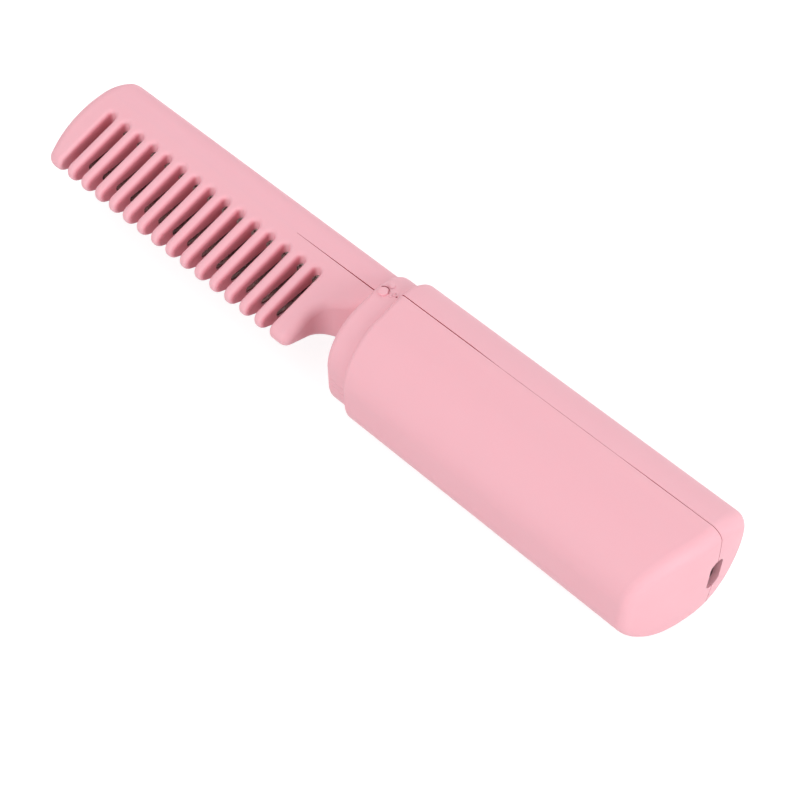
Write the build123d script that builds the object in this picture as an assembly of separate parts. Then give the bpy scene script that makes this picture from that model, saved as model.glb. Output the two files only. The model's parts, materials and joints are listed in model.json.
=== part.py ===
from build123d import *
from math import asin, atan, atan2, cos, degrees, hypot, pi, radians, sin, sqrt, tan
import os

os.makedirs("parts", exist_ok=True)

# A cordless hair straightening comb, in millimetres.
# X runs from the comb's tip to the tail of the handle, Y from the tooth tips to the back,
# Z up from the face that the handle lies on. The origin is under the middle of the whole.

# Case
wall = 2.0
handle_thickness = 28.9
belly_corner_radius = 11.3
back_corner_radius = 13.9
front_lean = 6.0
front_edge_radius = 1.1
collar_length = 6.0
collar_step = 1.35
collar_back_drop = 0.55
collar_edge_radius = 1.3
dome_radius = 36.0
dome_crown_radius = 167.0
dome_offset = 5.2
tail_edge_radius = 3.0
seam_line_width = 0.22
seam_line_depth = 0.35
seam_line_start = 65.0
seam_line_closed = 0.06
seam_line_rear_width = 0.15
seam_line_front_length = 19.0
seam_line_rear_length = 17.0
seam_line_fade = 9.0
nub_radius = 1.0
nub_height = 0.4
nub_root = 2.0
nub_setback = 2.5
nub_drop = 1.5
moat_width = 0.26
moat_depth = 0.4
moat_start = 0.4

# Comb
slot_count = 15
tooth_pitch = 4.74
slot_width = 2.15
root_drop = 10.1
tip_margin = 8.3
heel_margin = 15.34
heel_width = 4.6
comb_height = 26.2
spine_drop = 4.5
spine_thickness = 22.8
spine_edge_radius = 4.2
tooth_nose_flat = 0.21
comb_edge_radius = 2.3
tooth_lean = 4.0
tooth_edge_radius = 1.1
tip_arc_radius = 25.5
tip_arc_offset = -4.0
tip_corner_radius = 10.5
neck_rise = 9.0
neck_slope = 0.6
neck_radius = 5.0
comb_wall = 2.6

# Heater
heated_share = 0.72
blade_thickness = 5.4
blade_slope = 0.16
blade_head_gap = 0.9
shoulder_wall = 3.1
shoulder_drop = 1.3
blade_edge_share = 0.9
heater_fit = 0.1
heater_recess = 0.4
heater_top = 2.5
heater_end_margin = 2.2
channel_width = 6.0
channel_depth = 3.4
element_width = 5.2
element_thickness = 1.3
element_margin = 2.5
film_thickness = 0.15
spring_thickness = 0.25
spring_width = 4.0
spring_waves = 6
spring_end_gap = 2.0
bar_thickness = 1.8
bar_width = 11.2
bar_end_gap = 1.0
bar_gap = 0.1
rib_count = 3
rib_thickness = 1.2
fuse_diameter = 2.9
fuse_length = 9.0
fuse_gap = 1.2
lead_diameter = 0.6
lead_length = 1.0
sensor_diameter = 1.6
sensor_length = 2.4
sensor_offset = 0.5
sensor_overhang = 0.3
sensor_gap = 1.8
bar_screw_diameter = 1.6
bar_screw_head_diameter = 2.8
bar_screw_head_height = 0.8
bar_screw_length = 3.4
bar_screw_offset = 4.6
bar_screw_margin = 4.0
screw_tip_gap = 0.3
drive_depth = 0.4
drive_width = 0.4
seat_gap = 0.05

# Cell
cell_diameter = 18.4
cell_length = 65.2
cell_edge_radius = 0.8
cell_seat = 0.4
cell_rear_gap = 1.75
front_bay = 8.3
cradle_thickness = 1.6
cradle_gap = 0.1
cradle_depth = 2.0
cradle_count = 3
tab_width = 6.0
tab_thickness = 0.2
pad_length = 22.0
pad_width = 10.0

# Board and what stands on it
board_gap = 0.55
board_thickness = 1.2
board_width = 19.2
board_edge_gap = 1.2
board_corner_radius = 1.5
board_overhang = 1.0
switch_size = 6.0
switch_height = 3.2
plunger_diameter = 3.5
plunger_height = 1.0
plunger_depth = 0.8
plunger_edge_radius = 0.2
well_gap = 0.2
lamp_length = 3.0
lamp_width = 1.5
lamp_height = 0.8
chip_height = 0.9
chip_setback = 9.0
chip_offset = 4.0
controller_size = 5.0
charger_size = 4.0
transistor_length = 6.0
transistor_width = 5.0
transistor_setback = 11.0
transistor_offset = 4.5
coil_size = 6.0
coil_height = 3.0
coil_setback = 18.0
capacitor_diameter = 4.0
capacitor_height = 4.4
capacitor_gap = 0.8
capacitor_offset = 4.5
post_radius = 2.0
post_offset = 7.6
post_front_margin = 3.2
post_rear_margin = 6.6
board_screw_diameter = 1.9
board_screw_head_diameter = 3.8
board_screw_head_height = 1.3
board_screw_length = 6.0
screw_clearance = 0.05

# Charging port
receptacle_width = 8.94
receptacle_height = 3.26
receptacle_length = 7.35
receptacle_wall = 0.3
port_recess = 1.4
port_clearance = 0.18
tongue_width = 6.69
tongue_thickness = 0.7
tongue_length = 4.5
tongue_base_length = 2.0

# Control panel in the back
panel_depth = 1.4
panel_wall = 1.5
panel_length = 42.0
panel_width = 11.6
panel_margin = 1.4
button_setback = 22.0
button_diameter = 9.0
button_proud = 0.9
button_edge_radius = 0.5
button_dish_depth = 0.35
button_clearance = 0.1
button_travel = 0.35
flange_overhang = 1.2
flange_thickness = 1.0
flange_gap = 0.2
stem_diameter = 4.0
stem_length = 0.7
stem_gap = 0.05
window_count = 3
window_diameter = 2.0
window_pitch = 5.0
window_setback = 11.0
window_clearance = 0.1
guide_bar_thickness = 1.2
guide_bar_overhang = 0.3
guide_leg_diameter = 2.4
guide_lamp_gap = 0.3

# Snap hooks
hook_width = 6.0
hook_thickness = 1.1
hook_gap = 0.15
hook_reach = 4.4
barb_depth = 0.6
barb_height = 1.1
ledge_height = 1.0
ledge_gap = 0.2

# Wires and heat barrier
wire_diameter = 1.1
wire_offset = 2.0
wire_bend_radius = 3.5
wire_rise_start = 6.0
wire_rise_end = 1.0
sensor_wire_diameter = 0.5
wire_landing = 4.5
barrier_thickness = 0.8
barrier_gap = 0.2
barrier_window_width = 8.0
barrier_window_height = 5.2
barrier_window_rise = 1.0

# How far a cut runs past what it cuts, and how near two points count as one
over = 1.0
near = 0.01

# Sizes worked out from the ones above
handle_width = (wall + cell_seat + cell_diameter + board_gap + board_thickness + switch_height + plunger_height
                + stem_gap + stem_length + flange_thickness + flange_gap + panel_wall + panel_depth)
handle_length = front_bay + cell_length + cell_rear_gap + receptacle_length + port_recess
comb_length = tip_margin + (slot_count - 1) * tooth_pitch + heel_margin
whole_length = comb_length + collar_length + handle_length

tip_x = -whole_length / 2
collar_x = tip_x + comb_length
handle_x = collar_x + collar_length
tail_x = handle_x + handle_length
mid_z = handle_thickness / 2
back_y = handle_width / 2

cell_radius = cell_diameter / 2
cell_y = wall + cell_seat + cell_radius - back_y
cell_start_x = handle_x + front_bay
cell_end_x = cell_start_x + cell_length
board_y = cell_y + cell_radius + board_gap
board_top_y = board_y + board_thickness
seam_y = board_y - receptacle_height / 2
port_x = tail_x - port_recess
receptacle_x = port_x - receptacle_length
board_start_x = handle_x + wall + board_edge_gap
board_end_x = port_x - board_overhang

spine_y = back_y - spine_drop
tips_y = spine_y - comb_height
root_y = spine_y - root_drop
slot_depth = comb_height - root_drop
pocket_y = root_y - heated_share * slot_depth
blade_head_y = root_y + blade_head_gap
shoulder_y = root_y - shoulder_drop
heel_x = collar_x - heel_margin + slot_width / 2 + heel_width
core_half = (spine_thickness - tooth_nose_flat) / 2
core_height = comb_height - comb_edge_radius
face_slope = tan(atan2(core_half, core_height) - asin(comb_edge_radius / hypot(core_half, core_height)))
slot_places = [tip_x + tip_margin + count * tooth_pitch for count in range(slot_count)]

heater_top_y = seam_y + heater_top
channel_y = heater_top_y - channel_depth
heater_start_x = slot_places[0]
heater_end_x = slot_places[-1] + slot_width / 2 + heater_end_margin
sensor_x = heater_end_x + sensor_overhang - sensor_length
fuse_x = sensor_x - sensor_gap - lead_length - fuse_length
bar_top_y = heater_top_y + bar_thickness
element_start_x = heater_start_x + element_margin
element_end_x = fuse_x - fuse_gap

panel_y = back_y - panel_depth
panel_under_y = panel_y - panel_wall
button_x = handle_x + button_setback
window_x = button_x + window_setback
panel_x = (button_x + window_x + (window_count - 1) * window_pitch) / 2
switch_top_y = board_top_y + switch_height


def prism(outline, start, length):
    """Solid of a Y-Z outline that starts at X and runs towards the tail."""
    return extrude(Plane.YZ.offset(start) * Pos(0, mid_z) * outline, length, dir=(1, 0, 0))


def block(low, high):
    """Box between two opposite corners."""
    size = [b - a for a, b in zip(low, high)]
    middle = [(a + b) / 2 for a, b in zip(low, high)]
    return Pos(*middle) * Box(*size)


def rod_x(start, end, y, z, radius):
    """Round bar along X."""
    return Pos((start + end) / 2, y, z) * Rot(0, 90, 0) * Cylinder(radius, end - start)


def rod_y(x, z, low, high, radius):
    """Round bar along Y."""
    return Pos(x, (low + high) / 2, z) * Rot(90, 0, 0) * Cylinder(radius, high - low)


def joined(solids):
    """One group of separate solids."""
    return Compound(children=[item for solid in solids for item in solid.solids()])


def handle_section(inset):
    """Outline of the handle across its length, drawn in from the outside by inset."""
    outline = Rectangle(handle_width - 2 * inset, handle_thickness - 2 * inset)
    edge = back_y - inset - near
    outline = fillet([v for v in outline.vertices() if v.X < -edge], belly_corner_radius - inset)
    return fillet([v for v in outline.vertices() if v.X > edge], back_corner_radius - inset)


def beyond_tail(inset):
    """Everything behind the crowned end face of the handle."""
    radius = dome_radius - inset
    centre_x = tail_x - dome_radius
    half = 1.2 * back_y
    far_x = tail_x + wall + over
    low = (centre_x + sqrt(radius**2 - (half + dome_offset)**2), -half)
    high = (centre_x + sqrt(radius**2 - (half - dome_offset)**2), half)
    arc = ThreePointArc(low, (centre_x + radius, dome_offset), high)
    rest = Polyline(high, (far_x, half), (far_x, -half), low)
    crown_axis = Axis((tail_x - dome_crown_radius, 0, mid_z), (0, 1, 0))
    swing = 3 * degrees(atan(mid_z / dome_crown_radius))
    face = Pos(0, 0, mid_z) * make_face([arc, rest])
    return revolve(face.rotate(crown_axis, -swing / 2), crown_axis, swing)


def before_front(x):
    """Everything ahead of a front face that leans back towards the belly."""
    depth = comb_length
    slab = Box(depth, 4 * back_y, 4 * mid_z, align=(Align.MAX, Align.CENTER, Align.CENTER))
    return Pos(x, seam_y, mid_z) * Rot(0, 0, front_lean) * slab


def handle_form(inset):
    """Outer form of the handle behind the collar."""
    form = prism(handle_section(inset), handle_x - front_bay, handle_length + front_bay + wall)
    form -= beyond_tail(inset)
    form -= before_front(handle_x + inset)
    tail = form.faces().sort_by(Axis.X)[-1]
    form = fillet(tail.edges(), tail_edge_radius - inset)
    front = form.faces().sort_by(Axis.X)[0]
    return fillet(front.edges(), front_edge_radius) if inset < wall else form


def collar_section(inset):
    """Outline of the collar across its length, lower on the back than the handle's."""
    section = handle_section(collar_step + inset)
    return section & Pos(-collar_back_drop, 0) * section


def collar_form(inset):
    """Outer form of the stepped collar that a slide-on cap would sit over."""
    form = prism(collar_section(inset), collar_x - collar_length, 3 * collar_length)
    form -= before_front(collar_x + inset)
    front = form.faces().sort_by(Axis.X)[0]
    return fillet(front.edges(), collar_edge_radius) if inset < wall else form


def comb_half(y, inset):
    """Half of the comb's thickness at y, with its faces drawn in by inset."""
    return spine_thickness / 2 - face_slope * (spine_y - y) - inset / cos(atan(face_slope))


def wedge(half, low_y, high_y, start, end):
    """Wedge along X whose half thickness follows a function of y."""
    corners = [(high_y, half(high_y)), (high_y, -half(high_y)), (low_y, -half(low_y)), (low_y, half(low_y))]
    return prism(Polygon(*corners, align=None), start, end - start)


def comb_wedge(inset, low_y, high_y, start, end):
    """Wedge between the comb's two sloping faces."""
    return wedge(lambda y: comb_half(y, inset), low_y, high_y, start, end)


def comb_plan(inset, low_y, high_y, end):
    """The comb seen from above: an arc at the tip, straight back and tooth line."""
    centre_x = tip_x + tip_arc_radius
    plan = Pos(centre_x, tip_arc_offset) * Circle(tip_arc_radius - inset)
    plan += Pos(centre_x, spine_y) * Rectangle(end - centre_x, 4 * comb_height, align=(Align.MIN, Align.CENTER))
    band = Pos(0, low_y) * Rectangle(2 * whole_length, high_y - low_y, align=(Align.CENTER, Align.MIN))
    return plan & band


def neck_notch(inset):
    """Hollow under the neck between the last tooth and the collar, seen from above."""
    corner = (heel_x - inset, tips_y + neck_rise + inset)
    end_x = collar_x + 2 * collar_length
    end = (end_x, corner[1] + neck_slope * (end_x - corner[0]))
    below = tips_y - comb_height
    return Polygon((corner[0], below), corner, end, (end_x, below), align=None), corner


def comb_form(inset):
    """Outer form of the comb with every outer edge rounded alike, before its slots."""
    core = comb_edge_radius
    low_y = tips_y + core
    high_y = spine_y - core
    plan = comb_plan(core, low_y, high_y, collar_x + 1.5 * collar_length)
    corner = [v for v in plan.vertices() if v.X < tip_x + tip_arc_radius and v.Y > high_y - near]
    plan = fillet(corner, tip_corner_radius - core)
    notch, notch_corner = neck_notch(core)
    plan -= notch
    inner = [v for v in plan.vertices() if abs(v.Y - notch_corner[1]) < near]
    plan = fillet(inner, neck_radius + core)
    solid = comb_wedge(core, low_y, high_y, tip_x, collar_x + 3 * collar_length)
    solid &= extrude(plan, handle_thickness, dir=(0, 0, 1))
    rounded = offset(solid.solid(), amount=comb_edge_radius - inset, kind=Kind.ARC)
    limit = comb_wedge(inset, tips_y, spine_y - inset, tip_x, collar_x + 3 * collar_length)
    back = [e for e in limit.edges().filter_by(Axis.X) if e.center().Y > high_y]
    return rounded & fillet(back, spine_edge_radius - inset)


def slot_cutter(widening):
    """All slots as one cutter, each with a round root."""
    width = slot_width + 2 * widening
    plan = Sketch()
    for x in slot_places:
        root = Pos(x, root_y - slot_width / 2) * Rot(0, 0, -tooth_lean)
        plan += root * Circle(width / 2)
        plan += root * Rectangle(width, 2 * slot_depth, align=(Align.CENTER, Align.MAX))
    return extrude(plan, handle_thickness, dir=(0, 0, 1))


def slot_distance(point, x):
    """Distance from a slot's centre line, seen from above."""
    along = Vector(-sin(radians(tooth_lean)), -cos(radians(tooth_lean)))
    offset_from_root = Vector(point.X - x, point.Y - root_y + slot_width / 2)
    reach = max(offset_from_root.dot(along), 0)
    return (offset_from_root - along * reach).length


def is_slot_rim(edge):
    """True for an edge where a slot's wall or root meets the outside of a tooth."""
    points = [edge.position_at(share) for share in (0, 0.5, 1)]
    if max(abs(points[0].X - points[2].X), abs(points[0].Y - points[2].Y)) < near:
        return abs(points[1].Y - points[0].Y) > near
    half_width = slot_width / 2
    return any(all(abs(slot_distance(point, x) - half_width) < near for point in points) for x in slot_places)


def slotted_comb():
    """The comb's outer form with its slots cut and their rims rounded."""
    comb = comb_form(0) - slot_cutter(0)
    rims = [edge for edge in comb.edges() if is_slot_rim(edge)]
    return fillet(rims, tooth_edge_radius)


def case_form():
    """Comb, collar and handle as one outer form."""
    return slotted_comb() + collar_form(0) + handle_form(0)


def blade_half(y, inset):
    """Half of the heated blade's thickness at y."""
    return blade_thickness / 2 - blade_slope * (root_y - y) - inset


def blade(inset, start, end):
    """Heated blade between the plastic faces of the teeth, with a round lower edge and a shoulder at its head."""
    low_y = pocket_y + heater_fit + inset
    solid = wedge(lambda y: blade_half(y, inset), low_y, blade_head_y + heater_fit, start, end)
    bottom = [e for e in solid.edges().filter_by(Axis.X) if e.center().Y < low_y + near]
    solid = fillet(bottom, blade_edge_share * blade_half(low_y, inset))
    return solid + comb_wedge(shoulder_wall + inset, shoulder_y + inset, blade_head_y + heater_fit, start, end)


def case_cavity():
    """Hollow inside the case: cell bay, collar, neck duct and heater pocket."""
    hollow = handle_form(wall)
    hollow += collar_form(wall)
    high_y = spine_y - wall
    duct_y = channel_y - wire_diameter
    hollow += comb_wedge(comb_wall, duct_y, high_y, heater_end_x - over, collar_x + collar_length)
    start_x = heater_start_x - heater_fit
    end_x = heater_end_x + heater_fit
    hollow += comb_wedge(comb_wall, blade_head_y, high_y, start_x, end_x)
    return hollow + blade(-heater_fit, start_x, end_x)


def above_seam():
    """Everything on the back side of the seam plane."""
    return block((tip_x - over, seam_y, -over), (tail_x + over, back_y + over, handle_thickness + over))


def seam_line():
    """Fine open line along the seam, wide beside the collar, nearly closed at mid handle, closed over the collar."""
    skin = case_form_plain(0) - case_form_plain(seam_line_depth)
    comb_start = tip_x + seam_line_start
    comb_gap = Polygon((comb_start, 0), (collar_x, 0), (collar_x, seam_line_width), (comb_start, seam_line_closed),
                       align=None)
    start = handle_x - seam_line_depth
    end = tail_x + over
    front = handle_x + seam_line_front_length
    rear = tail_x - seam_line_rear_length
    handle_gap = Polygon((start, 0), (end, 0), (end, seam_line_rear_width), (rear, seam_line_rear_width),
                         (rear - seam_line_fade, seam_line_closed), (front + seam_line_fade, seam_line_closed),
                         (front, seam_line_width), (start, seam_line_width), align=None)
    height = handle_thickness + 2 * over
    gaps = [extrude(Pos(0, seam_y, -over) * gap, height, dir=(0, 0, 1)) for gap in (comb_gap, handle_gap)]
    return (skin & gaps[0]) + (skin & gaps[1])


def case_form_plain(inset):
    """Outer form without its slots, drawn in by inset."""
    return comb_form(inset) + collar_form(inset) + handle_form(inset)


def section_half(y, inset):
    """Half of the handle's thickness at y on the back side, drawn in by inset."""
    rise = max(y - (back_y - back_corner_radius), 0)
    radius = back_corner_radius - inset
    return mid_z - back_corner_radius + sqrt(radius**2 - rise**2)


def port_cutter(clearance):
    """Round-ended opening for the charging plug."""
    height = receptacle_height + 2 * clearance
    width = receptacle_width + 2 * clearance
    outline = Rot(0, 0, 90) * SlotOverall(width, height)
    start = port_x - 2 * wall
    return prism(Pos(seam_y, 0) * outline, start, tail_x + over - start)


def both_sides(make):
    """A shape and its mirror image, made for the two Z sides."""
    return [make(side) for side in (-1, 1)]


def nub_discs(radius, low, high):
    """Round discs at the nubs' places on both sides of the collar, from low to high over its surface."""
    nub_y = seam_y - nub_drop
    surface = section_half(nub_y + collar_back_drop, collar_step)

    def disc(side):
        z = mid_z + side * (surface + (low + high) / 2)
        return Pos(collar_x + nub_setback, nub_y, z) * Cylinder(radius, high - low)
    return both_sides(disc)


def nub_moats():
    """Fine round grooves beside the nubs, on the side of the seam."""
    low_y = seam_y - nub_drop + moat_start
    room = block((collar_x, low_y, -over), (handle_x, seam_y, handle_thickness + over))
    return [disc & room for disc in nub_discs(nub_radius + moat_width, -moat_depth, over)]


def hook_places():
    """The four snap hooks: X of the middle and the Z side."""
    span = cell_length / 4
    middle = (cell_start_x + cell_end_x) / 2
    return [(middle + end * span, side) for end in (-1, 1) for side in (-1, 1)]


def hook_outer_z():
    """Distance of a hook's outer face from the mid-plane."""
    return section_half(board_top_y + ledge_height, wall)


def post_places():
    """Axes of the four board posts."""
    front = board_start_x + post_front_margin - wall / 2
    rear = board_end_x - post_rear_margin + wall
    return [(x, mid_z + side * post_offset) for x in (front, rear) for side in (-1, 1)]


def main_shell():
    """Teeth, belly and collar in one moulding, open to the back."""
    cavity = case_cavity()
    shell = case_form() - cavity - above_seam()
    shell -= joined(nub_moats()).solids()
    shell += joined(nub_discs(nub_radius, -nub_root, nub_height)).solids()
    hole_y = board_top_y - board_screw_length - screw_tip_gap
    post_room = cavity + block((handle_x, seam_y, 0), (tail_x, board_y, handle_thickness))
    for x, z in post_places():
        shell += rod_y(x, z, -back_y, board_y, post_radius) & post_room
        shell -= rod_y(x, z, hole_y, board_y + over, board_screw_diameter / 2 + screw_clearance)
    cell_room = rod_x(tip_x, tail_x, cell_y, mid_z, cell_radius + cradle_gap)
    for count in range(cradle_count):
        x = cell_start_x + cell_length * (count + 0.5) / cradle_count
        low = (x - cradle_thickness / 2, -back_y, 0)
        high = (x + cradle_thickness / 2, cell_y - cradle_depth, handle_thickness)
        shell += (cavity & block(low, high)) - cell_room
    ledge_top_y = board_y - hook_reach + barb_height + ledge_gap + ledge_height
    for x, side in hook_places():
        inner = mid_z + side * (hook_outer_z() + hook_gap)
        outer = mid_z + side * (mid_z - wall / 2)
        low = (x - hook_width / 2, ledge_top_y - ledge_height, min(inner, outer))
        high = (x + hook_width / 2, ledge_top_y, max(inner, outer))
        shell += block(low, high)
    return shell - port_cutter(port_clearance)


def back_cover():
    """Strip along the back from tip to tail, with the control panel and the snap hooks."""
    cavity = case_cavity()
    outer = case_form_plain(0) & above_seam()
    cover = outer - cavity - seam_line()
    panel = SlotOverall(panel_length, panel_width)
    boss = SlotOverall(panel_length + 2 * panel_margin, panel_width + 2 * panel_margin)
    panel_plane = Plane((panel_x, panel_y, mid_z), x_dir=(1, 0, 0), z_dir=(0, 1, 0))
    boss_solid = extrude(panel_plane.offset(-panel_wall) * boss, panel_depth + panel_wall, dir=(0, 1, 0))
    cover += boss_solid & outer
    cover -= extrude(panel_plane * panel, 2 * panel_depth, dir=(0, 1, 0))
    cover -= rod_y(button_x, mid_z, panel_under_y - over, back_y, button_diameter / 2 + button_clearance)
    flange_room = button_diameter / 2 + flange_overhang + flange_gap
    cover -= rod_y(button_x, mid_z, board_top_y, panel_under_y, flange_room)
    for x in window_places():
        cover -= rod_y(x, mid_z, panel_under_y - over, back_y, window_diameter / 2 + window_clearance)
    barb_y = board_y - hook_reach
    for x, side in hook_places():
        outer_z = mid_z + side * hook_outer_z()
        inner_z = outer_z - side * hook_thickness
        tip_z = outer_z + side * barb_depth
        top_y = board_top_y + 2 * ledge_height
        cover += block((x - hook_width / 2, barb_y, min(inner_z, outer_z)),
                       (x + hook_width / 2, top_y, max(inner_z, outer_z)))
        cover += block((x - hook_width / 2, barb_y, min(inner_z, tip_z)),
                       (x + hook_width / 2, barb_y + barb_height, max(inner_z, tip_z)))
    rib_span = (heater_end_x - heater_start_x) / (rib_count + 1)
    for count in range(rib_count):
        x = heater_start_x + rib_span * (count + 1)
        cover += block((x - rib_thickness / 2, bar_top_y + bar_gap, mid_z - bar_width / 3),
                       (x + rib_thickness / 2, spine_y - wall / 2, mid_z + bar_width / 3))
    return cover - port_cutter(port_clearance)


def heating_comb():
    """Aluminium comb that shows inside the slots, with a channel for the heating element."""
    head_y = blade_head_y + heater_fit
    body = comb_wedge(comb_wall + heater_fit, head_y, heater_top_y, heater_start_x, heater_end_x)
    body += blade(0, heater_start_x, heater_end_x)
    body -= slot_cutter(heater_recess)
    channel_half = channel_width / 2
    body -= block((element_start_x - over, channel_y, mid_z - channel_half),
                  (heater_end_x + over, heater_top_y + over, mid_z + channel_half))
    hole_y = bar_top_y - bar_screw_length - screw_tip_gap
    for x, z in bar_screw_places():
        body -= rod_y(x, z, hole_y, heater_top_y + over, bar_screw_diameter / 2 + screw_clearance)
    return body


def bar_screw_places():
    """Axes of the four screws that hold the clamp bar."""
    ends = (heater_start_x + bar_screw_margin, heater_end_x - bar_screw_margin / 2)
    return [(x, mid_z + side * bar_screw_offset) for x in ends for side in (-1, 1)]


def heating_element():
    """Ceramic heating strip on the channel's floor."""
    low_y = channel_y + film_thickness
    return block((element_start_x, low_y, mid_z - element_width / 2),
                 (element_end_x, low_y + element_thickness, mid_z + element_width / 2))


def insulating_films():
    """Two thin sheets, under and over the heating strip."""
    films = []
    for low_y in (channel_y, channel_y + film_thickness + element_thickness):
        films.append(block((element_start_x, low_y, mid_z - element_width / 2),
                           (element_end_x, low_y + film_thickness, mid_z + element_width / 2)))
    return joined(films)


def pressure_spring():
    """Wavy leaf spring that presses the heating strip on the channel's floor."""
    low_y = channel_y + 2 * film_thickness + element_thickness + spring_thickness / 2
    high_y = heater_top_y - spring_thickness / 2
    start_x = element_start_x + spring_end_gap
    length = element_end_x - spring_end_gap - start_x
    count = 4 * spring_waves
    points = []
    for number in range(count + 1):
        share = (1 - cos(2 * pi * spring_waves * number / count)) / 2
        points.append((start_x + length * number / count, low_y + (high_y - low_y) * share))
    strip = trace(Spline(points), spring_thickness)
    return extrude(Pos(0, 0, mid_z - spring_width / 2) * strip, spring_width, dir=(0, 0, 1))


def clamp_bar():
    """Heat-proof bar over the channel, held by four screws."""
    bar = block((heater_start_x + bar_end_gap, heater_top_y, mid_z - bar_width / 2),
                (heater_end_x, bar_top_y, mid_z + bar_width / 2))
    for x, z in bar_screw_places():
        bar -= rod_y(x, z, heater_top_y - over, bar_top_y + over, bar_screw_diameter / 2 + 2 * screw_clearance)
        bar -= rod_y(x, z, bar_top_y - bar_screw_head_height, bar_top_y + over,
                     bar_screw_head_diameter / 2 + 2 * screw_clearance)
    return bar


def clamp_screws():
    """Four small countersunk screws of the clamp bar."""
    screws = []
    for x, z in bar_screw_places():
        head_y = bar_top_y - bar_screw_head_height
        screw = rod_y(x, z, bar_top_y - bar_screw_length, bar_top_y, bar_screw_diameter / 2)
        screw += rod_y(x, z, head_y, bar_top_y, bar_screw_head_diameter / 2)
        screw -= block((x - bar_screw_head_diameter / 3, bar_top_y - drive_depth, z - drive_width / 2),
                       (x + bar_screw_head_diameter / 3, bar_top_y + over, z + drive_width / 2))
        screws.append(screw)
    return joined(screws)


def thermal_fuse():
    """Round cut-out fuse in the channel behind the heating strip, with its two leads."""
    axis_y = channel_y + fuse_diameter / 2 + seat_gap
    fuse = rod_x(fuse_x, fuse_x + fuse_length, axis_y, mid_z, fuse_diameter / 2)
    fuse = fillet(fuse.edges().filter_by(GeomType.CIRCLE), fuse_diameter / 8)
    lead_start = fuse_x - fuse_gap + seat_gap
    return fuse + rod_x(lead_start, fuse_x + fuse_length + lead_length, axis_y, mid_z, lead_diameter / 2)


def temperature_sensor():
    """Small glass bead on the channel's floor near the neck."""
    axis_y = channel_y + sensor_diameter / 2 + seat_gap
    bead = rod_x(sensor_x, sensor_x + sensor_length, axis_y, mid_z + sensor_offset, sensor_diameter / 2)
    return fillet(bead.edges().filter_by(GeomType.CIRCLE), sensor_diameter / 4)


def wire(points, diameter):
    """Round wire along a route with rounded corners."""
    path = FilletPolyline(*points, radius=wire_bend_radius)
    start = Plane(path.position_at(0), z_dir=path.tangent_at(0))
    return sweep(start * Circle(diameter / 2), path)


def wire_route(start_x, start_y, z, diameter):
    """Points from the channel through the neck duct and up onto the board."""
    landing_y = board_top_y + diameter / 2 + seat_gap
    end_x = board_start_x + wire_landing
    return [(start_x, start_y, z), (collar_x - wire_rise_start, start_y, z),
            (handle_x - wire_rise_end, landing_y, z), (end_x, landing_y, z)]


def heater_wires():
    """Two power leads from the heating strip and the fuse to the board."""
    axis_y = channel_y + wire_diameter / 2 + seat_gap
    from_strip = wire_route(element_end_x + seat_gap, axis_y, mid_z + wire_offset, wire_diameter)
    fuse_y = channel_y + fuse_diameter / 2 + seat_gap
    lead_end = fuse_x + fuse_length + lead_length + seat_gap
    bend_x = lead_end + wire_diameter
    from_fuse = wire_route(bend_x + wire_diameter / 2, axis_y, mid_z - wire_offset, wire_diameter)
    path = Polyline((lead_end, fuse_y, mid_z), (bend_x, fuse_y, mid_z), *from_fuse[:2])
    lead = sweep(Plane(path.position_at(0), z_dir=(1, 0, 0)) * Circle(wire_diameter / 2), path,
                 transition=Transition.ROUND)
    rest = wire(from_fuse[1:], wire_diameter)
    return joined([wire(from_strip, wire_diameter), lead + rest])


def sensor_wires():
    """Two thin leads from the temperature sensor to the board."""
    axis_y = channel_y + sensor_diameter / 2 + seat_gap
    start = sensor_x + sensor_length + seat_gap
    wires = []
    for side in (-1, 1):
        z = mid_z + sensor_offset + side * sensor_wire_diameter
        wires.append(wire(wire_route(start, axis_y, z, sensor_wire_diameter), sensor_wire_diameter))
    return joined(wires)


def heat_barrier():
    """Plate across the collar that keeps the heater's warmth from the cell."""
    start = collar_x + collar_length / 2 + wall / 2
    outline = collar_section(wall + barrier_gap)
    plate = prism(outline, start, barrier_thickness)
    window_y = (channel_y + board_top_y) / 2 + barrier_window_rise
    end = start + barrier_thickness
    plate -= block((start - over, window_y - barrier_window_height / 2, mid_z - barrier_window_width / 2),
                   (end + over, window_y + barrier_window_height / 2, mid_z + barrier_window_width / 2))
    return plate


def battery_cell():
    """Round lithium cell in the handle, with a raised front contact."""
    cell = rod_x(cell_start_x, cell_end_x, cell_y, mid_z, cell_radius)
    return fillet(cell.edges().filter_by(GeomType.CIRCLE), cell_edge_radius)


def contact_tab(face_x, side):
    """Nickel strip from a cell end up to the board's underside."""
    out_x = face_x + side * tab_thickness
    strip = block((min(face_x, out_x), cell_y - tab_width / 2, mid_z - tab_width / 2),
                  (max(face_x, out_x), board_y, mid_z + tab_width / 2))
    foot_x = out_x + side * 2 * tab_thickness
    foot = block((min(face_x, foot_x), board_y - tab_thickness, mid_z - tab_width / 2),
                 (max(face_x, foot_x), board_y, mid_z + tab_width / 2))
    return strip + foot


def cell_pad():
    """Foam pad between the cell and the board."""
    middle = (cell_start_x + cell_end_x) / 2
    pad = block((middle - pad_length / 2, cell_y, mid_z - pad_width / 2),
                (middle + pad_length / 2, board_y, mid_z + pad_width / 2))
    return pad - rod_x(tip_x, tail_x, cell_y, mid_z, cell_radius + seat_gap)


def control_board():
    """Circuit board between the cell and the back cover."""
    board = block((board_start_x, board_y, mid_z - board_width / 2),
                  (board_end_x, board_top_y, mid_z + board_width / 2))
    board = fillet(board.edges().filter_by(Axis.Y), board_corner_radius)
    for x, z in post_places():
        board -= rod_y(x, z, board_y - over, board_top_y + over, board_screw_diameter / 2 + 3 * screw_clearance)
    return board


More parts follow.
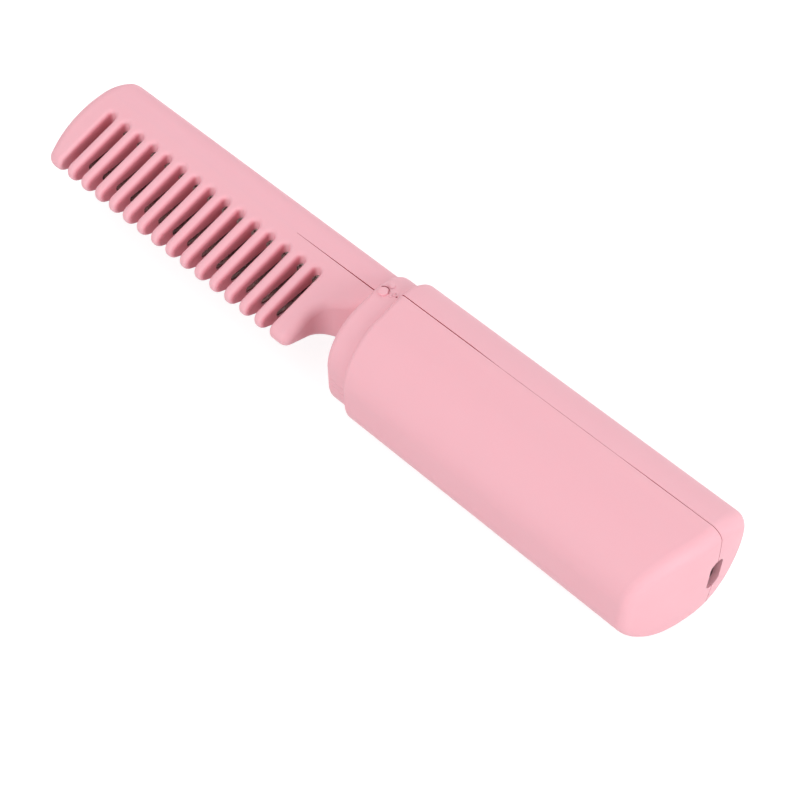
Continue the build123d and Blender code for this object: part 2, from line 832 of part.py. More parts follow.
def board_screws():
    """Four pan-head screws that hold the board on its posts."""
    screws = []
    cross = Box(board_screw_head_diameter / 2, 2 * drive_depth, drive_width)
    for x, z in post_places():
        top = board_top_y + board_screw_head_height
        head = rod_y(x, z, board_top_y, top, board_screw_head_diameter / 2)
        head = fillet(head.edges().sort_by(Axis.Y)[-1], board_screw_head_height / 3)
        screw = head + rod_y(x, z, board_top_y - board_screw_length, board_top_y, board_screw_diameter / 2)
        for turn in (0, 90):
            screw -= Pos(x, top, z) * Rot(0, turn, 0) * cross
        screws.append(screw)
    return joined(screws)


def on_board(x, z, length, width, height):
    """Box that stands on the board."""
    low = (x - length / 2, board_top_y, z - width / 2)
    high = (x + length / 2, board_top_y + height, z + width / 2)
    return block(low, high)


def tactile_switch():
    """Square switch body with a round well for its plunger."""
    body = on_board(button_x, mid_z, switch_size, switch_size, switch_height)
    well_y = switch_top_y - plunger_depth - button_travel - well_gap
    return body - rod_y(button_x, mid_z, well_y, switch_top_y + over, plunger_diameter / 2 + screw_clearance)


def switch_plunger():
    """Round plunger of the switch."""
    top_y = switch_top_y + plunger_height
    plunger = rod_y(button_x, mid_z, switch_top_y - plunger_depth, top_y, plunger_diameter / 2)
    return fillet(plunger.edges().sort_by(Axis.Y)[-1], plunger_edge_radius)


def power_button():
    """Round button cap with its flange under the panel and its stem over the plunger."""
    top_y = panel_y + button_proud
    flange_top_y = panel_under_y - flange_gap
    flange_y = flange_top_y - flange_thickness
    cap = rod_y(button_x, mid_z, flange_y, top_y, button_diameter / 2)
    cap = fillet(cap.edges().sort_by(Axis.Y)[-1], button_edge_radius)
    reach = button_diameter / 2 - 2 * button_edge_radius
    dish_radius = (reach**2 + button_dish_depth**2) / (2 * button_dish_depth)
    cap -= Pos(button_x, top_y + dish_radius - button_dish_depth, mid_z) * Sphere(dish_radius)
    flange = rod_y(button_x, mid_z, flange_y, flange_top_y, button_diameter / 2 + flange_overhang)
    stem = rod_y(button_x, mid_z, flange_y - stem_length, flange_y, stem_diameter / 2)
    return cap + flange + stem


def window_places():
    """X of each lamp window."""
    return [window_x + count * window_pitch for count in range(window_count)]


def light_guide():
    """Clear guide with one leg and one window over each lamp."""
    first, last = window_places()[0], window_places()[-1]
    bar_y = panel_under_y - guide_bar_thickness
    half = guide_leg_diameter / 2 + guide_bar_overhang
    guide = block((first - half, bar_y, mid_z - half), (last + half, panel_under_y, mid_z + half))
    for x in window_places():
        guide += rod_y(x, mid_z, panel_under_y, panel_y, window_diameter / 2)
        guide += rod_y(x, mid_z, board_top_y + lamp_height + guide_lamp_gap, bar_y, guide_leg_diameter / 2)
    return guide


def indicator_lamps():
    """One small lamp under each window."""
    return joined([on_board(x, mid_z, lamp_length, lamp_width, lamp_height) for x in window_places()])


def control_chips():
    """Controller, charging chip and heater transistor."""
    x = window_places()[-1] + chip_setback
    transistor_x = board_start_x + transistor_setback
    transistor_z = mid_z + transistor_offset
    return joined([on_board(x, mid_z + chip_offset, controller_size, controller_size, chip_height),
                   on_board(x, mid_z - chip_offset, charger_size, charger_size, chip_height),
                   on_board(transistor_x, transistor_z, transistor_length, transistor_width, chip_height)])


def boost_coil():
    """Wound choke in its square case."""
    coil = on_board(window_places()[-1] + coil_setback, mid_z + chip_offset, coil_size, coil_size, coil_height)
    return fillet(coil.edges().filter_by(Axis.Y), coil_size / 6)


def capacitors():
    """Two round capacitors."""
    x = window_places()[-1] + coil_setback
    shift = (capacitor_diameter + capacitor_gap) / 2
    tops = board_top_y + capacitor_height
    return joined([rod_y(x + side * shift, mid_z - capacitor_offset, board_top_y, tops, capacitor_diameter / 2)
                   for side in (-1, 1)])


def receptacle_outline(inset):
    """Round-ended outline of the charging receptacle."""
    outline = SlotOverall(receptacle_width - 2 * inset, receptacle_height - 2 * inset)
    return Pos(seam_y, 0) * Rot(0, 0, 90) * outline


def receptacle_shell():
    """Folded steel shell of the charging receptacle."""
    shell = prism(receptacle_outline(0), receptacle_x, receptacle_length)
    return shell - prism(receptacle_outline(receptacle_wall), receptacle_x - over, receptacle_length + 2 * over)


def receptacle_tongue():
    """Moulded base and contact tongue inside the receptacle."""
    base = prism(receptacle_outline(receptacle_wall + seat_gap), receptacle_x, tongue_base_length)
    tongue = block((receptacle_x + tongue_base_length, seam_y - tongue_thickness / 2, mid_z - tongue_width / 2),
                   (receptacle_x + tongue_base_length + tongue_length, seam_y + tongue_thickness / 2,
                    mid_z + tongue_width / 2))
    return base + tongue


pieces = {
    "main_shell": main_shell,
    "back_cover": back_cover,
    "heating_comb": heating_comb,
    "heating_element": heating_element,
    "insulating_films": insulating_films,
    "pressure_spring": pressure_spring,
    "clamp_bar": clamp_bar,
    "clamp_screws": clamp_screws,
    "thermal_fuse": thermal_fuse,
    "temperature_sensor": temperature_sensor,
    "heater_wires": heater_wires,
    "sensor_wires": sensor_wires,
    "heat_barrier": heat_barrier,
    "battery_cell": battery_cell,
    "front_contact_tab": lambda: contact_tab(cell_start_x, -1),
    "rear_contact_tab": lambda: contact_tab(cell_end_x, 1),
    "cell_pad": cell_pad,
    "control_board": control_board,
    "board_screws": board_screws,
    "tactile_switch": tactile_switch,
    "switch_plunger": switch_plunger,
    "power_button": power_button,
    "light_guide": light_guide,
    "indicator_lamps": indicator_lamps,
    "control_chips": control_chips,
    "boost_coil": boost_coil,
    "capacitors": capacitors,
    "receptacle_shell": receptacle_shell,
    "receptacle_tongue": receptacle_tongue,
}

for name, make in pieces.items():
    piece = make()
    export_step(piece, f"parts/{name}.step")
    print(name, round(piece.volume, 1))
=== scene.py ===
"""Looks of a cordless hair straightening comb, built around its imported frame.

Lengths are in metres and in the frame's own axes: X from the comb's tip to the tail, Y from the
tooth tips to the back, and Z up from the face that the handle lies on.
"""

from __future__ import annotations

import json
import logging
import math
from dataclasses import dataclass, field
from enum import Enum

import bmesh
import bpy
from mathutils import Matrix, Vector

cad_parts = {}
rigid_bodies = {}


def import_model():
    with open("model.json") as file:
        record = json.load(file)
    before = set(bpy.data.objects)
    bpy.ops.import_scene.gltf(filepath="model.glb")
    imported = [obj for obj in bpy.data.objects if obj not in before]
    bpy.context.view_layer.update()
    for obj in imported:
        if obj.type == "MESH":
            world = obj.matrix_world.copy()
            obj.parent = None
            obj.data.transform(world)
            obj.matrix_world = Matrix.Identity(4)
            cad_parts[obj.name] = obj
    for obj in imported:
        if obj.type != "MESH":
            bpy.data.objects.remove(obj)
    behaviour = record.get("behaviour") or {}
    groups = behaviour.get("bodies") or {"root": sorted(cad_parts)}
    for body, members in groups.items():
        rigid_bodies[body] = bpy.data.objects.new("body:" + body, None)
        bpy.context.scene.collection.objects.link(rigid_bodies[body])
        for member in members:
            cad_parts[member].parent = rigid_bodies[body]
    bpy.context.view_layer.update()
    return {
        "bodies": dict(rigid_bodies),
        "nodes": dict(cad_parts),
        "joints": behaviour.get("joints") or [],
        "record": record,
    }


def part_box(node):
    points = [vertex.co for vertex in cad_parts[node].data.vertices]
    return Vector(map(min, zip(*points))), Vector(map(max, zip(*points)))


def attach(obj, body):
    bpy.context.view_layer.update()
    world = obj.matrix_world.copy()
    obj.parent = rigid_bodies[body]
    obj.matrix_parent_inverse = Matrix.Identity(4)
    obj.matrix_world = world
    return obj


LOG = logging.getLogger("comb")
MM = 0.001
PLASTIC_IOR = 1.5
CLEAR_IOR = 1.49
WHITE = (1.0, 1.0, 1.0, 1.0)

Colour = tuple[float, float, float]
Point = tuple[float, float, float]


class Lay(Enum):
    """Direction that a surface's grain runs in."""

    LENGTHWISE = (0.04, 1.0, 1.0)
    EVEN = (1.0, 1.0, 1.0)


class Side(Enum):
    """The two broad sides of the comb."""

    UNDER = "under"
    OVER = "over"


class Nodes:
    """Node tree with short calls for what every tree here needs."""

    def __init__(self, tree: bpy.types.NodeTree) -> None:
        """Keeps the tree.

        Args:
            tree: Tree that gets the nodes.
        """
        self.tree = tree

    def node(self, kind: str, **values: object) -> bpy.types.Node:
        """Adds a node.

        Args:
            kind: Blender's name of the node's type.
            values: Settings of the node itself.

        Returns:
            The new node.
        """
        made = self.tree.nodes.new(kind)
        for name, value in values.items():
            setattr(made, name, value)
        return made

    def link(self, source: bpy.types.NodeSocket, target: bpy.types.NodeSocket) -> None:
        """Joins two sockets."""
        self.tree.links.new(source, target)

    def reckon(self, operation: str, first: bpy.types.NodeSocket,
               second: bpy.types.NodeSocket) -> bpy.types.NodeSocket:
        """Reckons one value from two.

        Args:
            operation: Blender's name of the operation.
            first: First value.
            second: Second value.

        Returns:
            The result.
        """
        made = self.node("ShaderNodeMath", operation=operation)
        self.link(first, made.inputs[0])
        self.link(second, made.inputs[1])
        return made.outputs["Value"]

    def larger(self, first: bpy.types.NodeSocket, second: bpy.types.NodeSocket) -> bpy.types.NodeSocket:
        """Larger of two values."""
        return self.reckon("MAXIMUM", first, second)

    def both(self, first: bpy.types.NodeSocket, second: bpy.types.NodeSocket) -> bpy.types.NodeSocket:
        """Product of two shares."""
        return self.reckon("MULTIPLY", first, second)

    def seen(self, near: bpy.types.NodeSocket, far: bpy.types.NodeSocket) -> bpy.types.NodeSocket:
        """Chooses between what the eye, gloss and glass see and what only gives light.

        Args:
            near: Shader for light that is passed on.
            far: Shader for light that is seen.

        Returns:
            The chosen shader.
        """
        path = self.node("ShaderNodeLightPath")
        mirrored = self.larger(path.outputs["Is Glossy Ray"], path.outputs["Is Transmission Ray"])
        switch = self.node("ShaderNodeMixShader")
        self.link(self.larger(path.outputs["Is Camera Ray"], mirrored), switch.inputs["Fac"])
        self.link(near, switch.inputs[1])
        self.link(far, switch.inputs[2])
        return switch.outputs["Shader"]


class ShaderTree(Nodes):
    """Node tree of one material, with short calls for the nodes that the finishes share."""

    def __init__(self, name: str) -> None:
        """Starts a material that holds only its Principled surface.

        Args:
            name: Name of the material.
        """
        self.material = bpy.data.materials.new(name)
        self.material.use_nodes = True
        super().__init__(self.material.node_tree)
        self.surface = self.tree.nodes["Principled BSDF"]
        self.places = self.node("ShaderNodeTexCoord").outputs["Object"]

    def part(self, source: bpy.types.NodeSocket, axis: str) -> bpy.types.NodeSocket:
        """One of a vector's three numbers."""
        apart = self.node("ShaderNodeSeparateXYZ")
        self.link(source, apart.inputs["Vector"])
        return apart.outputs[axis]

    def noise(self, scale: float, detail: float = 2.0, lay: Lay = Lay.EVEN) -> bpy.types.NodeSocket:
        """Noise over the piece's own coordinates.

        Args:
            scale: Cells in a metre.
            detail: Octaves of finer noise.
            lay: Direction that the noise is drawn out in.

        Returns:
            The noise's value.
        """
        stretch = self.node("ShaderNodeMapping")
        stretch.inputs["Scale"].default_value = lay.value
        self.link(self.places, stretch.inputs["Vector"])
        grain = self.node("ShaderNodeTexNoise")
        grain.inputs["Scale"].default_value = scale
        grain.inputs["Detail"].default_value = detail
        self.link(stretch.outputs["Vector"], grain.inputs["Vector"])
        return grain.outputs["Fac"]

    def spread(self, source: bpy.types.NodeSocket, low: float, high: float,
               start: float = 0.3, end: float = 0.7) -> bpy.types.NodeSocket:
        """Maps a value onto a range.

        Args:
            source: Value to map.
            low: Result at start.
            high: Result at end.
            start: Value that gives low.
            end: Value that gives high.

        Returns:
            The mapped value.
        """
        mapping = self.node("ShaderNodeMapRange")
        for name, value in (("From Min", start), ("From Max", end), ("To Min", low), ("To Max", high)):
            mapping.inputs[name].default_value = value
        self.link(source, mapping.inputs["Value"])
        return mapping.outputs["Result"]

    def mixed(self, share: bpy.types.NodeSocket, first: Colour | bpy.types.NodeSocket,
              second: Colour) -> bpy.types.NodeSocket:
        """Mixes two colours.

        Args:
            share: Share of the second colour.
            first: Colour at a share of 0.
            second: Colour at a share of 1.

        Returns:
            The mixed colour.
        """
        blend = self.node("ShaderNodeMix", data_type="RGBA")
        under, over = (socket for socket in blend.inputs if socket.type == "RGBA")
        over.default_value = (*second, 1.0)
        if isinstance(first, tuple):
            under.default_value = (*first, 1.0)
        else:
            self.link(first, under)
        self.link(share, blend.inputs["Factor"])
        return next(socket for socket in blend.outputs if socket.type == "RGBA")

    def bump(self, height: bpy.types.NodeSocket, depth: float, strength: float = 1.0,
             under: bpy.types.NodeSocket | None = None) -> bpy.types.NodeSocket:
        """Bumps the surface.

        Args:
            height: Height of the relief, from 0 to 1.
            depth: Depth of the whole relief.
            strength: Share of the relief that shows.
            under: Normal of a coarser relief that this one lies on.

        Returns:
            The bumped normal.
        """
        relief = self.node("ShaderNodeBump")
        relief.inputs["Strength"].default_value = strength
        relief.inputs["Distance"].default_value = depth
        self.link(height, relief.inputs["Height"])
        if under is not None:
            self.link(under, relief.inputs["Normal"])
        return relief.outputs["Normal"]

    def set(self, **values: float | Colour) -> None:
        """Sets plain numbers on the surface's own sockets, with _ for each space in a socket's name."""
        for name, value in values.items():
            self.surface.inputs[name.replace("_", " ")].default_value = value

    def drive(self, name: str, source: bpy.types.NodeSocket) -> None:
        """Links a value to one of the surface's sockets."""
        self.link(source, self.surface.inputs[name])


@dataclass(frozen=True)
class SatinPlastic:
    """Moulded ABS with a fine spark-eroded skin, faint specks, painted shade on the slot walls and a painted
    red shade in the parting gap.
    """

    name: str
    colour: Colour
    shade: Colour
    speck: Colour
    roughness: float = 0.5
    gloss: float = 0.24
    flow_scale: float = 28.0
    cloud_scale: float = 160.0
    cloud_range: tuple[float, float] = (-0.03, 0.04)
    grain_scale: float = 6500.0
    grain_depth: float = 0.006 * MM
    grain_share: float = 0.6
    wave_scale: float = 45.0
    wave_depth: float = 0.05 * MM
    wave_share: float = 0.5
    glow: float = 0.1
    glow_depth: float = 1.2 * MM
    glow_reach: Colour = (1.0, 0.35, 0.4)
    speck_pitch: float = 16.0 * MM
    speck_radius: float = 0.13 * MM
    speck_share: float = 0.6
    # Painted shade: dark red laid in the parting gap between shell and cover, where shade falls, weaker
    # towards the tail.
    gap: Colour | None = None
    gap_top: tuple[float, float] = (4.2 * MM, 4.21 * MM)
    gap_facing: tuple[float, float] = (-0.95, -0.9)
    gap_fade: tuple[float, float] = (74.0 * MM, 82.0 * MM)
    gap_faded: float = 0.3
    # Painted shade: a deeper pink laid on the walls between the teeth, where shade falls.
    slot_shade: Colour | None = None
    wall_steepness: tuple[float, float] = (0.25, 0.9)
    wall_start: tuple[float, float] = (-84.0 * MM, -83.5 * MM)
    wall_end: tuple[float, float] = (-12.0 * MM, -11.9 * MM)

    def specks(self, shader: ShaderTree) -> bpy.types.NodeSocket:
        """Share of the few dark specks that such a moulding has in its skin."""
        cells = shader.node("ShaderNodeTexVoronoi")
        cells.inputs["Scale"].default_value = 1.0 / self.speck_pitch
        shader.link(shader.places, cells.inputs["Vector"])
        reach = self.speck_radius / self.speck_pitch
        return shader.spread(cells.outputs["Distance"], self.speck_share, 0.0, reach / 2, reach)

    def parting_shade(self, shader: ShaderTree) -> bpy.types.NodeSocket:
        """Share of the painted shade on the face that closes the gap between shell and cover."""
        facing = shader.part(shader.node("ShaderNodeNewGeometry").outputs["True Normal"], "Y")
        under = shader.spread(facing, 1.0, 0.0, *self.gap_facing)
        low = shader.spread(shader.part(shader.places, "Y"), 1.0, 0.0, *self.gap_top)
        fading = shader.spread(shader.part(shader.places, "X"), 1.0, self.gap_faded, *self.gap_fade)
        return shader.both(shader.both(under, low), fading)

    def slot_wall_shade(self, shader: ShaderTree) -> bpy.types.NodeSocket:
        """Share of the painted shade on the walls between the teeth, which face along the comb."""
        facing = shader.part(shader.node("ShaderNodeNewGeometry").outputs["Normal"], "X")
        steep = shader.spread(shader.both(facing, facing), 0.0, 1.0, *self.wall_steepness)
        along = shader.part(shader.places, "X")
        after = shader.spread(along, 0.0, 1.0, *self.wall_start)
        before = shader.spread(along, 1.0, 0.0, *self.wall_end)
        return shader.both(steep, shader.both(after, before))

    def material(self) -> bpy.types.Material:
        """Builds the material."""
        shader = ShaderTree(self.name)
        flow = shader.noise(self.flow_scale, 3.0, Lay.LENGTHWISE)
        skin = shader.mixed(shader.spread(flow, 0.0, 1.0), self.colour, self.shade)
        skin = shader.mixed(self.specks(shader), skin, self.speck)
        # Painted shade: deeper pink on the walls between the teeth.
        if self.slot_shade is not None:
            skin = shader.mixed(self.slot_wall_shade(shader), skin, self.slot_shade)
        # Painted shade: dark red in the parting gap between shell and cover.
        if self.gap is not None:
            skin = shader.mixed(self.parting_shade(shader), skin, self.gap)
        shader.drive("Base Color", skin)
        cloud = shader.noise(self.cloud_scale, 4.0)
        low, high = self.cloud_range
        shader.drive("Roughness", shader.spread(cloud, self.roughness + low, self.roughness + high))
        wave = shader.bump(shader.noise(self.wave_scale, 1.0), self.wave_depth, self.wave_share)
        grain = shader.noise(self.grain_scale)
        shader.drive("Normal", shader.bump(grain, self.grain_depth, self.grain_share, wave))
        shader.set(Specular_IOR_Level=self.gloss, IOR=PLASTIC_IOR, Subsurface_Weight=self.glow,
                   Subsurface_Scale=self.glow_depth, Subsurface_Radius=self.glow_reach)
        return shader.material


@dataclass(frozen=True)
class PlainMoulding:
    """Moulded resin, rubber or foam with an even skin, also used for the dark pieces of painted shade."""

    name: str
    colour: Colour
    roughness: float
    cell: float = 0.2 * MM
    relief: float = 0.01 * MM
    shade: float = 0.8
    sheen_range: float = 0.05

    def material(self) -> bpy.types.Material:
        """Builds the material."""
        shader = ShaderTree(self.name)
        grain = shader.noise(1.0 / self.cell, 3.0)
        darker = tuple(self.shade * channel for channel in self.colour)
        shader.drive("Base Color", shader.mixed(shader.spread(grain, 0.0, 1.0), self.colour, darker))
        low, high = self.roughness - self.sheen_range, self.roughness + self.sheen_range
        shader.drive("Roughness", shader.spread(grain, low, high))
        shader.drive("Normal", shader.bump(grain, self.relief))
        return shader.material


@dataclass(frozen=True)
class WorkedMetal:
    """Metal with the marks of its working: drawn, stamped, cast or plated."""

    name: str
    colour: Colour
    tarnish: Colour
    roughness: float
    lay: Lay = Lay.EVEN
    scale: float = 900.0
    relief: float = 0.008 * MM
    tarnish_share: float = 0.6
    stain_scale: float = 240.0
    stain_range: tuple[float, float] = (0.4, 0.7)
    sheen_range: tuple[float, float] = (-0.08, 0.1)
    metal: float = 1.0
    # Painted highlight: a pale colour laid on the metal towards the spine, patchy with the marks, for glints
    # near the slot roots.
    painted_glint: Colour | None = None
    painted_glint_from: tuple[float, float] = (-0.6 * MM, -0.2 * MM)
    painted_glint_least: float = 0.2

    def material(self) -> bpy.types.Material:
        """Builds the material."""
        shader = ShaderTree(self.name)
        marks = shader.noise(self.scale, 5.0, self.lay)
        stain = shader.noise(self.stain_scale, 4.0)
        share = shader.spread(stain, 0.0, self.tarnish_share, *self.stain_range)
        skin = shader.mixed(share, self.colour, self.tarnish)
        # Painted highlight: the metal turns pale and patchy towards the spine.
        if self.painted_glint is not None:
            over = shader.spread(shader.part(shader.places, "Y"), 0.0, 1.0, *self.painted_glint_from)
            patchy = shader.spread(marks, self.painted_glint_least, 1.0)
            skin = shader.mixed(shader.both(over, patchy), skin, self.painted_glint)
        shader.drive("Base Color", skin)
        low, high = self.sheen_range
        shader.drive("Roughness", shader.spread(marks, self.roughness + low, self.roughness + high))
        shader.drive("Normal", shader.bump(marks, self.relief))
        shader.set(Metallic=self.metal)
        return shader.material


@dataclass(frozen=True)
class ClearMoulding:
    """Clear or frosted plastic, film or glass."""

    name: str
    colour: Colour
    roughness: float = 0.12
    clearness: float = 0.7
    haze_scale: float = 700.0
    haze_relief: float = 0.004 * MM
    haze_range: float = 0.08
    milk: float = 0.15

    def material(self) -> bpy.types.Material:
        """Builds the material."""
        shader = ShaderTree(self.name)
        haze = shader.noise(self.haze_scale)
        milky = tuple((1.0 - self.milk) * channel + self.milk for channel in self.colour)
        shader.drive("Base Color", shader.mixed(shader.spread(haze, 0.0, 1.0), self.colour, milky))
        shader.drive("Roughness", shader.spread(haze, self.roughness, self.roughness + self.haze_range))
        shader.drive("Normal", shader.bump(haze, self.haze_relief))
        shader.set(Transmission_Weight=self.clearness, IOR=CLEAR_IOR)
        return shader.material


@dataclass(frozen=True)
class SolderMask:
    """Green mask over copper tracks."""

    name: str
    mask: Colour = (0.012, 0.16, 0.06)
    over_copper: Colour = (0.03, 0.30, 0.11)
    track_pitch: float = 1.1 * MM
    track_edge: tuple[float, float] = (0.04, 0.06)
    track_height: float = 0.02 * MM
    sheen_scale: float = 500.0
    sheen: tuple[float, float] = (0.3, 0.4)

    def material(self) -> bpy.types.Material:
        """Builds the material."""
        shader = ShaderTree(self.name)
        tracks = shader.node("ShaderNodeTexVoronoi", feature="DISTANCE_TO_EDGE")
        tracks.inputs["Scale"].default_value = 1.0 / (3.0 * self.track_pitch)
        shader.link(shader.places, tracks.inputs["Vector"])
        edge = shader.spread(tracks.outputs["Distance"], 1.0, 0.0, *self.track_edge)
        shader.drive("Base Color", shader.mixed(edge, self.mask, self.over_copper))
        shader.drive("Roughness", shader.spread(shader.noise(self.sheen_scale), *self.sheen))
        shader.drive("Normal", shader.bump(edge, self.track_height))
        return shader.material


def linear(red: int, green: int, blue: int) -> Colour:
    """Turns a display colour of 0 to 255 into the renderer's linear one.

    Args:
        red: Red as displayed.
        green: Green as displayed.
        blue: Blue as displayed.

    Returns:
        The colour in linear light.
    """
    def channel(value: int) -> float:
        """Linear light of one displayed channel."""
        share = value / 255
        return share / 12.92 if share <= 0.04045 else ((share + 0.055) / 1.055) ** 2.4

    return channel(red), channel(green), channel(blue)


SPECK_PINK = linear(168, 104, 116)
# Dark red of the painted shade in the parting gap.
SEAM_SHADE_RED = linear(186, 18, 48)
# Dark brown of the painted shade pieces in the collar's moat and pit.
GAP_SHADE_BROWN = linear(140, 36, 52)
# The shell's deeper pink between the teeth is painted shade.
SHELL_PINK = SatinPlastic("satin_pink_shell", linear(239, 180, 190), linear(237, 177, 187), SPECK_PINK,
                          slot_shade=linear(226, 142, 155))
# The cover's dark red in the parting gap is painted shade.
COVER_PINK = SatinPlastic("satin_pink_cover", linear(238, 180, 190), linear(236, 177, 188), SPECK_PINK,
                          gap=SEAM_SHADE_RED)
BUTTON_PINK = SatinPlastic("satin_pink_button", linear(248, 205, 214), linear(245, 200, 210), SPECK_PINK,
                           roughness=0.38)
GAP_SHADE = PlainMoulding("gap_shade", GAP_SHADE_BROWN, 0.8)
# The heater's pale patches near the slot roots are painted highlight.
DARK_CASTING = WorkedMetal("dark_cast_aluminium", linear(128, 96, 92), linear(62, 30, 32), 0.28,
                           scale=1400.0, relief=0.09 * MM, tarnish_share=0.9, metal=0.7,
                           painted_glint=linear(236, 226, 222))
WHITE_CERAMIC = PlainMoulding("white_alumina", linear(236, 234, 226), 0.55)
AMBER_FILM = ClearMoulding("amber_film", linear(206, 128, 40), clearness=0.5)
SPRING_STEEL = WorkedMetal("spring_steel", linear(190, 188, 182), linear(120, 110, 100), 0.25, Lay.LENGTHWISE)
BAR_RESIN = PlainMoulding("glass_filled_resin", linear(52, 50, 50), 0.5, 0.35 * MM, 0.03 * MM)
SCREW_STEEL = WorkedMetal("zinc_plated_steel", linear(196, 200, 206), linear(150, 150, 140), 0.28)
FUSE_TIN = WorkedMetal("tinned_brass", linear(204, 200, 190), linear(150, 140, 120), 0.3, Lay.LENGTHWISE)
SENSOR_GLASS = ClearMoulding("amber_glass", linear(222, 160, 90))
RED_SLEEVE = PlainMoulding("red_silicone", linear(178, 30, 26), 0.5)
WHITE_SLEEVE = PlainMoulding("white_silicone", linear(232, 232, 226), 0.5)
PRESSED_MICA = WorkedMetal("pressed_mica", linear(206, 196, 170), linear(170, 158, 130), 0.45, scale=400.0)
SHRINK_SLEEVE = SatinPlastic("blue_shrink_sleeve", linear(44, 92, 168), linear(38, 84, 156),
                             linear(30, 66, 128), roughness=0.3, glow=0.0)
NICKEL = WorkedMetal("nickel_strip", linear(206, 204, 194), linear(160, 152, 140), 0.27, Lay.LENGTHWISE)
CELL_FOAM = PlainMoulding("closed_cell_foam", linear(42, 42, 44), 0.9, 0.5 * MM, 0.15 * MM)
BOARD_GREEN = SolderMask("green_solder_mask")
PART_BLACK = PlainMoulding("black_package", linear(30, 30, 32), 0.45, 0.15 * MM, 0.006 * MM)
LAMP_EPOXY = ClearMoulding("lamp_epoxy", linear(250, 246, 226), 0.2, 0.4)
GUIDE_ACRYLIC = ClearMoulding("frosted_acrylic", linear(246, 246, 248), 0.35, 0.55)
DRAWN_CAN = WorkedMetal("drawn_can", linear(200, 202, 206), linear(160, 160, 164), 0.3)
# Painted shade: the port's steel is a dark red-brown that stands for the shade inside the opening.
SHADED_PORT_STEEL = WorkedMetal("shade_darkened_steel", linear(100, 56, 60), linear(56, 28, 32), 0.32, Lay.LENGTHWISE)
PORT_BLACK = PlainMoulding("port_resin", linear(26, 25, 27), 0.4)
GOLD_PLATE = WorkedMetal("gold_plate", linear(224, 176, 92), linear(190, 140, 64), 0.25, Lay.LENGTHWISE)

Finish = SatinPlastic | PlainMoulding | WorkedMetal | ClearMoulding | SolderMask


class Paintbox:
    """Makes each finish's material once."""

    def __init__(self) -> None:
        """Starts with no materials."""
        self.made: dict[str, bpy.types.Material] = {}

    def material(self, finish: Finish) -> bpy.types.Material:
        """Gives a finish's material.

        Args:
            finish: Finish to look up.

        Returns:
            Its material, made at the first call.
        """
        if finish.name not in self.made:
            self.made[finish.name] = finish.material()
        return self.made[finish.name]


@dataclass
class Assembly:
    """Group of nodes and pieces that are dressed together."""

    frame: dict
    paints: Paintbox

    def dress(self, node: str, finish: Finish) -> None:
        """Gives a CAD node its finish.

        Args:
            node: Name of the node.
            finish: Finish that it gets.
        """
        slots = self.frame["nodes"][node].data.materials
        slots.clear()
        slots.append(self.paints.material(finish))
        LOG.info("dressed %s in %s", node, finish.name)

    def piece(self, name: str, mesh: bmesh.types.BMesh, finish: Finish, body: str, slot: str,
              smooth: bool = True) -> bpy.types.Object:
        """Makes a new piece of a finished bmesh.

        Args:
            name: Name of the piece.
            mesh: Its shape, in the frame's axes.
            finish: Finish that it gets.
            body: Body that it rides on.
            slot: Material slot of the record; not used.
            smooth: True for round shapes.

        Returns:
            The new object.
        """
        bmesh.ops.recalc_face_normals(mesh, faces=mesh.faces)
        data = bpy.data.meshes.new(name)
        mesh.to_mesh(data)
        mesh.free()
        for polygon in data.polygons:
            polygon.use_smooth = smooth
        made = bpy.data.objects.new(name, data)
        bpy.context.scene.collection.objects.link(made)
        data.materials.append(self.paints.material(finish))
        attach(made, body)
        LOG.info("made %s with %d faces", name, len(data.polygons))
        return made


@dataclass(frozen=True)
class Mark:
    """Small round form that stands on the collar; the dark ones are painted shade."""

    node: str
    x: float
    y: float
    radius: float
    height: float


